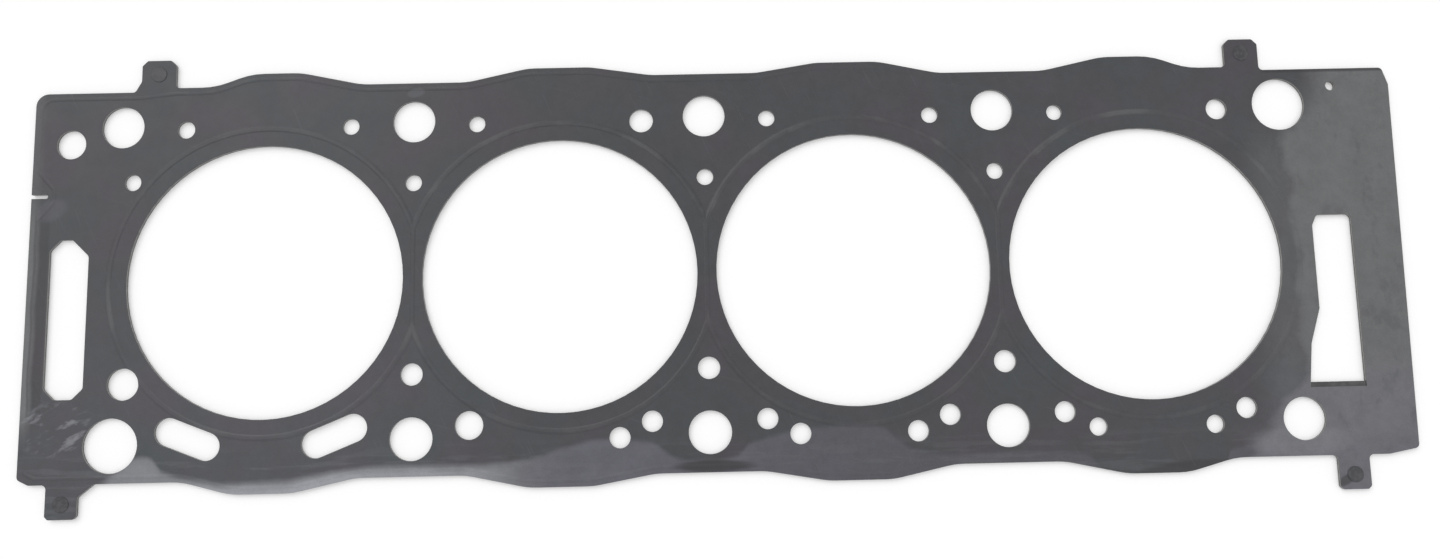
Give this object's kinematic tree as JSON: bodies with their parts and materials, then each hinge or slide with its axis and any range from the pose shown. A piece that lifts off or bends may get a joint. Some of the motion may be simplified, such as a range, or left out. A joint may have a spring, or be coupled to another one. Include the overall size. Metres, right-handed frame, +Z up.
{
  "type": "cylinder head gasket",
  "caption": "Multi-layer steel cylinder head gasket for an in-line engine, with embossed bore and edge beads, bolt, dowel, coolant and oil holes, and riveted tabs.",
  "frame": {"origin": "the middle of the line through the four bore axes, on the plane of the lower bore beads' crests, where the gasket seats on the block", "axes": "+X runs along the bores, away from the end with the two small holes beside the slot; +Y to the rear long side; +Z up, towards the head"},
  "size_m": [0.4365, 0.145, 0.0017],
  "materials": {
    "coated_sheet": "matt dark grey sealing coat on spring steel",
    "carrier_steel": "plain rolled steel",
    "shim_steel": "plain stainless steel",
    "rivet_steel": "dark coated steel"
  },
  "bodies": {
    "root": {"upper_bead_layer": "coated_sheet", "stopper_shim": "shim_steel", "carrier_layer": "carrier_steel", "lower_bead_layer": "coated_sheet", "rivet_rear_left": "rivet_steel", "rivet_rear_right": "rivet_steel", "rivet_front_left": "rivet_steel", "rivet_front_right": "rivet_steel"}
  },
  "joints": []
}
